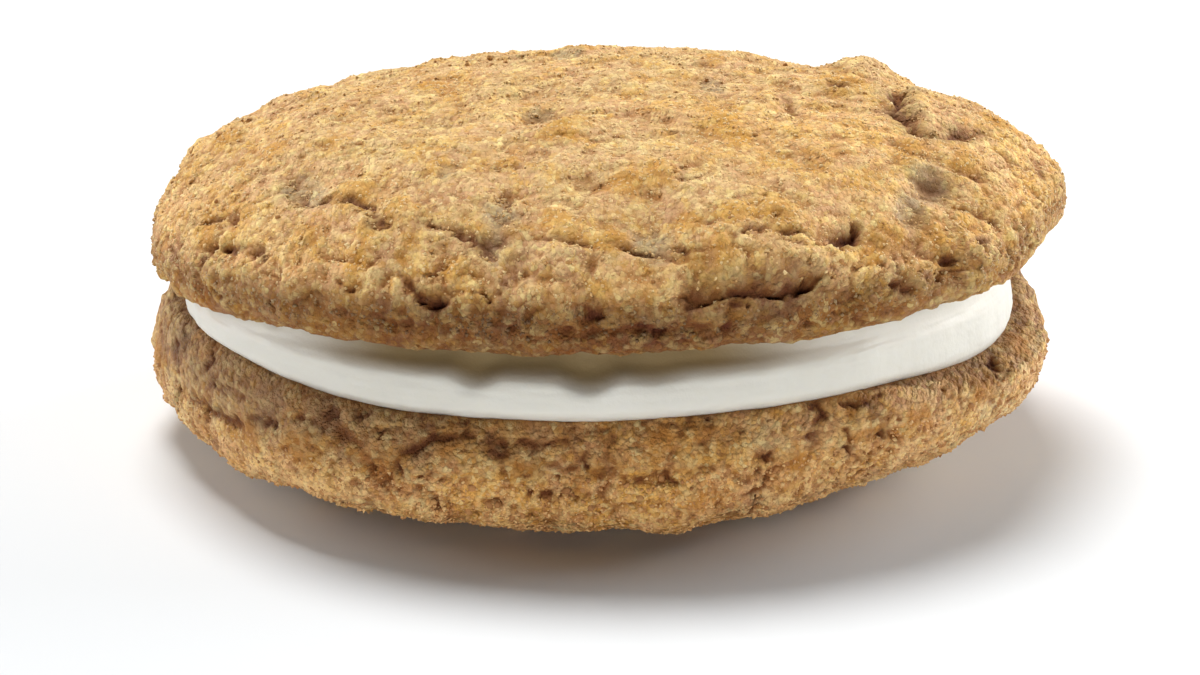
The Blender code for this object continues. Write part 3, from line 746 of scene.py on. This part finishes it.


# colours in sRGB 0-255: the crust's own tones, with painted shade in the flat side and crack tones and painted light
# in the end tones
topCrust = {
    "tones": {
        "Dome": (216, 178, 123), "Side": (226, 142, 46), "Flat side and shade": (92, 50, 22), "Lit ends": (238, 180, 90),
        "Rose": (220, 170, 122), "Gold": (224, 170, 72), "Amber": (206, 146, 54), "Bare": (184, 166, 130),
        "Straw": (253, 228, 154), "Dark": (168, 112, 54), "Crack": (88, 40, 26),
    },
    "grains": 2300.0,
    "specks": 0.64,
    "bump": 0.00036,
    "roughness": 0.78,
}
bottomCrust = {
    "tones": {
        "Dome": (172, 124, 68), "Side": (247, 185, 97), "Flat side and shade": (118, 77, 42), "Lit ends": (252, 222, 166),
        "Rose": (226, 168, 116), "Gold": (230, 168, 72), "Amber": (192, 126, 50), "Bare": (179, 141, 103),
        "Straw": (250, 224, 158), "Dark": (140, 84, 38), "Crack": (72, 30, 18),
    },
    "grains": 2300.0,
    "specks": 0.60,
    "bump": 0.0005,
    "roughness": 0.8,
}
grainGroup = buildGrainGroup()
toneGroup = buildToneGroup(topCrust["tones"])


def newMaterial(name):
    material = bpy.data.materials.new(name)
    material.use_nodes = True
    tree = material.node_tree
    return material, tree, tree.nodes["Principled BSDF"]


def readMask(tree, name):
    node = addNode(tree, "ShaderNodeAttribute", {"attribute_type": "GEOMETRY", "attribute_name": name})
    return node.outputs["Fac"]


def addGrain(tree, place, grains, specks):
    values = {"Position": place, "Grains per metre": grains, "Specks": specks}
    return addNode(tree, "ShaderNodeGroup", {"node_tree": grainGroup}, **values)


def addBump(tree, shader, height, distance, strength=1.0):
    bump = addNode(tree, "ShaderNodeBump", Strength=strength, Distance=distance, Height=height)
    feed(tree, shader.inputs["Normal"], bump.outputs["Normal"])


def crustMaterial(name, values):
    material, tree, shader = newMaterial(name)
    drawn = addNode(tree, "ShaderNodeVectorMath", {"operation": "MULTIPLY"})
    feed(tree, drawn.inputs[0], addNode(tree, "ShaderNodeTexCoord").outputs["Object"])
    feed(tree, drawn.inputs[1], (1.0, 0.5, 1.0))    # drawn out along Y: even grain as seen from the front
    place = drawn.outputs["Vector"]
    grain = addGrain(tree, place, values["grains"], values["specks"])
    inputs = {label: linear(colour) for label, colour in values["tones"].items()}
    inputs.update({label: readMask(tree, mask) for label, mask in crustMasks.items()})
    inputs.update({label: grain.outputs[label] for label in grainMasks})
    for label, scale in blotchScales.items():
        blotch = addNode(tree, "ShaderNodeTexNoise", Vector=place, Scale=scale, Detail=4.0, Roughness=0.6)
        inputs[label] = blotch.outputs["Fac"]
    tone = addNode(tree, "ShaderNodeGroup", {"node_tree": toneGroup}, **inputs)
    feed(tree, shader.inputs["Base Color"], tone.outputs["Color"])
    addBump(tree, shader, grain.outputs["Height"], values["bump"])
    rough = mathNode(tree, "ADD", mathNode(tree, "MULTIPLY", grain.outputs["Tone"], 0.2), values["roughness"] - 0.1)
    feed(tree, shader.inputs["Roughness"], rough)
    shader.inputs["Specular IOR Level"].default_value = 0.22
    return material


topCrustMaterial = crustMaterial("topCrust", topCrust)
bottomCrustMaterial = crustMaterial("bottomCrust", bottomCrust)
print("crust materials built")

topMarks = {
    "cracks": topCracks + topSplits, "humps": topHumps, "holes": topHoles, "gold": topGold, "bare": topBare
}
bottomMarks = {
    "cracks": bottomCracks + bottomSplits, "humps": bottomHumps, "holes": bottomHoles, "gold": bottomGold,
    "bare": bottomBare
}
topPiece = makeCookie("topCookie", topCookie, topMarks, topCrustMaterial, "top_cookie")
bottomPiece = makeCookie(
    "bottomCookie", bottomCookie, bottomMarks, bottomCrustMaterial, "bottom_cookie"
)
print("cookies shaped")

# cream
cream = {
    "centre": (-1, 0),
    "radius": 41.3,
    "lobes": ((2, -1, 0), (3, 0.15, 50), (7, 0.15, 0)),
    "swells": ((-25, 24, 1), (4, 24, -0.5), (-126, 24, 0.4)),
    "recesses": ((-96, 54, 2.8), (60, 50, 1.6), (140, 40, 1.2)),
    "ledgeDips": ((-91, 5, 0.9), (-105, 4, 0.7), (-83, 5, 0.35), (75, 12, 0.6)),
    "segments": 900,
    "rings": 44,
    "colour": (219, 217, 208),
    "shade": (209, 203, 186),
    "under": (142, 119, 72),    # painted shade where it lies back beneath the top cookie
    "intoBottom": 0.25,    # mm that it reaches into each cookie
    "intoTop": 0.35,
    "roughness": 0.48,
    "scatterLength": 0.0012,    # metres that light spreads inside it
}
# share of the height, set back, share of the recess, share of the dip
creamRings = np.array((
    (0.00, 1.5, 0.0, 0.0),
    (0.07, 0.7, 0.0, 0.0),
    (0.20, 0.0, 0.0, 0.0),
    (0.42, 0.1, 0.0, 0.4),
    (0.58, 0.3, 0.0, 1.0),
    (0.66, 0.6, 0.25, 1.0),
    (0.73, 0.8, 0.7, 0.8),
    (0.85, 1.0, 1.0, 0.3),
    (1.00, 1.3, 1.0, 0.0),
))


def creamMaterial(values):
    material, tree, shader = newMaterial("cream")
    place = addNode(tree, "ShaderNodeTexCoord").outputs["Object"]
    drift = addNode(tree, "ShaderNodeTexNoise", Vector=place, Scale=160.0, Detail=3.0, Roughness=0.5)
    share = mathNode(tree, "MULTIPLY", drift.outputs["Fac"], 0.35)
    base = mixColours(tree, share, linear(values["colour"]), linear(values["shade"]))
    # painted shade beneath the top cookie's overhang
    share = mathNode(tree, "MULTIPLY", readMask(tree, "under"), 0.92)
    base = mixColours(tree, share, base, linear(values["under"]))
    feed(tree, shader.inputs["Base Color"], base)
    fine = addNode(tree, "ShaderNodeTexNoise", Vector=place, Scale=1500.0, Detail=2.0, Roughness=0.6)
    addBump(tree, shader, fine.outputs["Fac"], 0.00008, 0.6)
    shader.inputs["Roughness"].default_value = values["roughness"]
    shader.inputs["Specular IOR Level"].default_value = 0.4
    shader.inputs["Subsurface Weight"].default_value = 0.25
    shader.inputs["Subsurface Radius"].default_value = (1.0, 0.85, 0.6)
    shader.inputs["Subsurface Scale"].default_value = values["scatterLength"]
    return material


def makeCream(values, material):
    # a closed slab: rings interpolated from the few above, rounded by averaging, then moved by soft noise
    angle = np.arange(values["segments"]) * 360.0 / values["segments"]
    turn = np.radians(angle)
    lobes = (size * np.cos(np.radians(count * (angle - phase))) for count, size, phase in values["lobes"])
    outer = values["radius"] + sum(lobes)
    outer = outer + sum(size * bell(angle, centre, reach) for centre, reach, size in values["swells"])
    recess = sum(depth * bell(angle, centre, reach) for centre, reach, depth in values["recesses"])
    dip = sum(drop * bell(angle, centre, reach) for centre, reach, drop in values["ledgeDips"])
    steps = np.linspace(0, len(creamRings) - 1, values["rings"])
    table = np.stack([np.interp(steps, np.arange(len(creamRings)), column) for column in creamRings.T], 1)
    for _ in range(3):
        table[1:-1] = (table[:-2] + 2 * table[1:-1] + table[2:]) / 4
    share, back, inShare, dipShare = (column[:, None] for column in table.T)
    radius = outer - back - inShare * recess

    def around(radius):
        # x, y and the lower and upper ends of the cream at this radius
        x, y = (middle + radius * way for middle, way in zip(values["centre"], (np.cos(turn), np.sin(turn))))
        low = flatSideLevel(bottomCookie, x, y) - values["intoBottom"]
        return x, y, low, flatSideLevel(topCookie, x, y) + values["intoTop"]

    x, y, low, high = around(radius)
    z = low + share * (high - low) - dipShare * dip
    spots = np.stack([x.ravel(), y.ravel(), z.ravel()], 1)
    swell = 0.28 * layeredNoise(spots, 11.0, 71, 2) + 0.07 * layeredNoise(spots, 2.6, 75, 2)
    along = np.column_stack([np.tile(angle, values["rings"]) / 9, spots[:, 2] * 2.2, np.zeros(len(spots))])
    streaks = 0.05 * layeredNoise(along, 1.0, 81, 2)
    radius = radius + (swell + streaks).reshape(radius.shape) * (1 - 0.5 * inShare)
    x, y, _, _ = around(radius)
    # painted shade on the recessed upper part, beneath the top cookie
    under = easeStep(0.56, 0.72, share) * easeStep(0.4, 2.0, recess)
    under = np.concatenate([np.zeros_like(angle), under.ravel(), np.ones_like(angle), [0.0, 1.0]])
    ringX, ringY, *levels = around(flatToRadius)
    lowRing, highRing = (np.stack([ringX, ringY, level], -1)[None] for level in levels)
    rows = np.concatenate([lowRing, np.stack([x, y, z], -1), highRing])
    count, size = rows.shape[:2]
    index = np.arange(count * size).reshape(count, size)
    after = np.roll(index, -1, 1)
    quads = np.stack([index[:-1], after[:-1], after[1:], index[1:]], -1).reshape(-1, 4)
    points = np.concatenate([rows.reshape(-1, 3), rows[0].mean(0, keepdims=True), rows[-1].mean(0, keepdims=True)])
    lower = np.stack([after[0], index[0], np.full(size, count * size)], 1)
    upper = np.stack([index[-1], after[-1], np.full(size, count * size + 1)], 1)
    faces = [*quads.tolist(), *lower.tolist(), *upper.tolist()]
    meshPiece("creamFilling", points, faces, {"under": under}, material, "cream_filling")


makeCream(cream, creamMaterial(cream))
print("cream shaped")

# sugar and crumbs stuck to the crusts: how many, half their length in mm, how far in they sit
sugar = {
    "size": (0.12, 0.27),
    "sink": -0.42,
    "jitter": 0.25,    # unevenness of form
    "sideBias": 0.0,    # 1: only on the flanks
    "roughness": 0.55,
    "grainy": False,
    # the shaded tone goes on towards the flat side: the crust's browning with painted shade
    "top": {"count": 24000, "tones": ((229, 199, 141), (218, 177, 116), (201, 154, 92)), "shaded": (82, 48, 22)},
    "bottom": {"count": 22000, "tones": ((231, 192, 131), (211, 160, 102), (176, 121, 68)), "shaded": (123, 78, 39)},
}
crumb = {
    "size": (0.14, 0.42),
    "sink": -0.35,
    "jitter": 0.3,
    "sideBias": 0.85,
    "roughness": 0.8,
    "grainy": True,
    # the shaded tone goes on towards the flat side: the crust's browning with painted shade
    "top": {"count": 350, "tones": ((212, 173, 112), (192, 143, 82), (160, 105, 52)), "shaded": (82, 48, 22)},
    "bottom": {"count": 900, "tones": ((217, 172, 111), (186, 133, 80), (147, 96, 51)), "shaded": (123, 78, 39)},
}
octahedron = (
    np.array(((1, 0, 0), (-1, 0, 0), (0, 1, 0), (0, -1, 0), (0, 0, 1), (0, 0, -1)), float),
    np.array(((0, 2, 4), (2, 1, 4), (1, 3, 4), (3, 0, 4), (2, 0, 5), (1, 2, 5), (3, 1, 5), (0, 3, 5))),
)


def icosahedron():
    # twelve corners (0, 1, golden ratio) in turn, joined in threes where all are neighbours
    gold = (1 + 5**0.5) / 2
    corners = [(a, b * gold, 0) for a in (-1, 1) for b in (-1, 1)]
    corners = np.array(corners + [(0, a, b) for a, b, _ in corners] + [(b, 0, a) for a, b, _ in corners], float)
    edge = np.abs(np.linalg.norm(corners[:, None] - corners, axis=2) - 2) < 0.01
    faces = [face for face in itertools.combinations(range(12), 3) if edge[np.ix_(face, face)].sum() == 6]
    faces = [face if np.linalg.det(corners[list(face)]) > 0 else face[::-1] for face in faces]
    return corners / np.linalg.norm(corners[0]), np.array(faces)


def scatter(name, host, count, shape, values, seed, material):
    # copies of one small form, each stretched and turned at random, set a little into the crust, fewer
    # in its cracks, and given the crust's browning and painted shade towards its flat side
    random = np.random.default_rng(seed)
    corners, faces = shape
    sideBias, jitter = values["sideBias"], values["jitter"]
    total = len(host["points"])
    shown = (host["way"] < profileTable(topCookie)[0][-1] - 6) & (host["points"][:, 2] > 0.6)
    masks = host["masks"]
    clear = 1 - np.clip(1.6 * masks["crack"] + 0.9 * masks["hollow"], 0, 1)
    weight = shown * clear * host["area"] * (1 - sideBias + sideBias * masks["flank"] ** 0.7)
    chosen = random.choice(total, count, p=weight / weight.sum())
    normal = host["normals"][chosen]
    shift = random.uniform(-0.22, 0.22, (count, 3))
    shift -= normal * (shift * normal).sum(1, keepdims=True)
    smallest, largest = values["size"]
    size = smallest + (largest - smallest) * random.random(count) ** 1.8
    centre = host["points"][chosen] + shift + normal * (size * values["sink"])[:, None]
    form = corners[None] * random.uniform(1 - jitter, 1 + jitter, (count, len(corners), 1))
    form = form * (size[:, None] * random.uniform(0.75, 1.25, (count, 3)))[:, None, :]
    turn = np.linalg.qr(random.normal(size=(count, 3, 3)))[0]
    turn[:, :, 0] *= np.linalg.det(turn)[:, None]
    points = (np.einsum("nij,nkj->nki", turn, form) + centre[:, None, :]).reshape(-1, 3)
    points[:, 2] = np.maximum(points[:, 2], 0.02)
    first = np.arange(count) * len(corners)
    allFaces = (faces[None] + first[:, None, None]).reshape(-1, 3)
    tones = {
        "tone": np.repeat(random.random(count), len(corners)),
        "inward": np.repeat(masks["inward"][chosen], len(corners)),
    }
    meshPiece(name, points, allFaces.tolist(), tones, material)


def bitMaterial(name, bits, values):
    # pale, middle and deep tones picked by each bit's own number, then darkened towards the flat side by the
    # crust's browning and painted shade; crumbs have the crust's grain on them
    material, tree, shader = newMaterial(name)
    pick = readMask(tree, "tone")
    pale, middle, deep = (linear(tone) for tone in bits["tones"])
    toMiddle = mathNode(tree, "MULTIPLY", pick, 2.0, clamp=True)
    toDeep = mathNode(tree, "SUBTRACT", mathNode(tree, "MULTIPLY", pick, 2.0), 1.0, clamp=True)
    base = mixColours(tree, toDeep, mixColours(tree, toMiddle, pale, middle), deep)
    shade = mathNode(tree, "MULTIPLY", readMask(tree, "inward"), 0.9)
    base = mixColours(tree, shade, base, linear(bits["shaded"]))
    if values["grainy"]:
        grain = addGrain(tree, addNode(tree, "ShaderNodeTexCoord").outputs["Object"], 3000.0, 0.6)
        base = mixColours(tree, mathNode(tree, "MULTIPLY", grain.outputs["Tone"], 0.4), base, middle)
        addBump(tree, shader, grain.outputs["Height"], 0.00012)
    feed(tree, shader.inputs["Base Color"], base)
    shader.inputs["Roughness"].default_value = values["roughness"]
    shader.inputs["Specular IOR Level"].default_value = 0.4
    return material


for host, label, seed in ((topPiece, "top", 41), (bottomPiece, "bottom", 43)):
    for more, (name, values, shape) in enumerate((("sugar", sugar, octahedron), ("crumbs", crumb, icosahedron()))):
        bits = values[label]
        material = bitMaterial(label + name.title(), bits, values)
        scatter(name + label.title(), host, bits["count"], shape, values, seed + more, material)
print("sugar and crumbs scattered")

# floor and light
studio = {
    "floorColour": (226, 227, 227),
    "overhead": 3.16,    # irradiance of the overhead light, W per square metre
    "overheadSpread": 28,    # degrees across
    "overheadFrom": (-0.15, 0.46, 1),
    "surround": (0.015, 0.15),    # strength in front and behind
    "surroundBand": (-0.55, 0.6),    # where it rises, as the Y of the direction
    "surroundColour": (0.84, 1.0, 1.2, 1.0),
    "cards": {    # watts, place in metres
        "front": (1.20, (0, -0.50, 0.035)),
        "left": (1.36, (-0.40, 0.19, 0.14)),
        "right": (2.30, (0.40, 0.19, 0.14)),
    },
    "cardSize": (0.45, 0.08),
    "background": 0.965,    # what the camera sees past the floor
}


def makeFloor(values):
    # one large square under the part
    mesh = bpy.data.meshes.new("floor")
    mesh.from_pydata([(-4, -4, 0), (4, -4, 0), (4, 4, 0), (-4, 4, 0)], [], [(0, 1, 2, 3)])
    material, _, shader = newMaterial("paleFloor")
    shader.inputs["Base Color"].default_value = linear(values["floorColour"])
    shader.inputs["Roughness"].default_value = 0.9
    mesh.materials.append(material)
    floor = bpy.data.objects.new("floor", mesh)
    scene.collection.objects.link(floor)


def makeLights(values):
    # a wide overhead light from behind, a low card in front, one behind at each side, a surround brighter behind
    overhead = bpy.data.lights.new("overhead", "SUN")
    overhead.energy = values["overhead"]
    overhead.angle = math.radians(values["overheadSpread"])
    lamps = [(overhead, values["overheadFrom"])]
    for name, (power, place) in values["cards"].items():
        card = bpy.data.lights.new(name + "Card", "AREA")
        card.shape = "RECTANGLE"
        card.size, card.size_y = values["cardSize"]
        card.energy = power
        lamps.append((card, place))
    for data, place in lamps:
        lamp = bpy.data.objects.new(data.name, data)
        lamp.location = place
        lamp.rotation_euler = Vector(place).to_track_quat("Z", "Y").to_euler()
        lamp.visible_camera = False
        scene.collection.objects.link(lamp)
    world = bpy.data.worlds.new("surround")
    world.use_nodes = True
    tree = world.node_tree
    soft = tree.nodes["Background"]
    split = addNode(tree, "ShaderNodeSeparateXYZ", Vector=addNode(tree, "ShaderNodeTexCoord").outputs["Generated"])
    ends = zip(("From Min", "From Max", "To Min", "To Max"), values["surroundBand"] + values["surround"])
    blend = addNode(tree, "ShaderNodeMapRange", Value=split.outputs["Y"], **dict(ends))
    feed(tree, soft.inputs["Strength"], blend.outputs["Result"])
    feed(tree, soft.inputs["Color"], values["surroundColour"])
    shown = addNode(tree, "ShaderNodeBackground", Color=(*[values["background"]] * 3, 1.0))
    toCamera = addNode(tree, "ShaderNodeLightPath").outputs["Is Camera Ray"]
    choose = addNode(tree, "ShaderNodeMixShader")
    for socket, source in zip(choose.inputs, (toCamera, soft.outputs["Background"], shown.outputs["Background"])):
        feed(tree, socket, source)
    feed(tree, tree.nodes["World Output"].inputs["Surface"], choose.outputs["Shader"])
    scene.world = world
    scene.view_settings.view_transform = "Standard"


makeFloor(studio)
makeLights(studio)
print("floor and light set")
